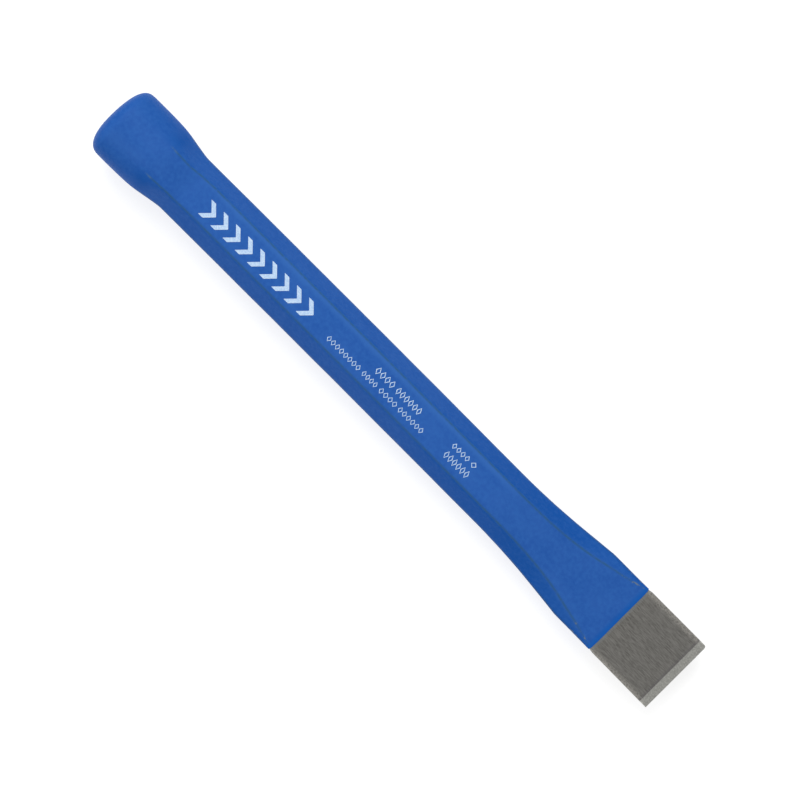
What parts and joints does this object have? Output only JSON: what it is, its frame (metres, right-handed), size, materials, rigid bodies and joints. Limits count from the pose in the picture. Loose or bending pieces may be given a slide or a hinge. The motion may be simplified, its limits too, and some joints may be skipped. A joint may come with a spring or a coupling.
{
  "type": "cold chisel",
  "caption": "Flat cold chisel with a round head, hexagonal coated shank and a flared, ground cutting end.",
  "frame": {"origin": "centre of the bounding box's lower side, on the surface that the head touches when the chisel's axis is level", "axes": "+X along the chisel from the struck head to the cutting edge, +Y along the cutting edge, +Z out of the printed face"},
  "size_m": [0.1778, 0.0192, 0.0183],
  "materials": {
    "ground_steel": "surface-ground bare tool steel",
    "powder_coat_blue": "satin blue powder coat on steel",
    "ink_white": "thin white screen-printed ink"
  },
  "bodies": {
    "root": {"steel_forging": "ground_steel", "powder_coat": "powder_coat_blue", "print_chevron_1": "ink_white", "print_chevron_2": "ink_white", "print_chevron_3": "ink_white", "print_chevron_4": "ink_white", "print_chevron_5": "ink_white", "print_chevron_6": "ink_white", "print_chevron_7": "ink_white", "print_chevron_8": "ink_white", "print_chevron_9": "ink_white", "print_name_bar_1": "ink_white", "print_name_bar_2": "ink_white", "print_notice_bar_1": "ink_white", "print_notice_bar_2": "ink_white", "print_notice_bar_3": "ink_white", "print_notice_bar_4": "ink_white", "print_origin_bar_1": "ink_white", "print_origin_bar_2": "ink_white", "print_origin_bar_3": "ink_white"}
  },
  "joints": []
}
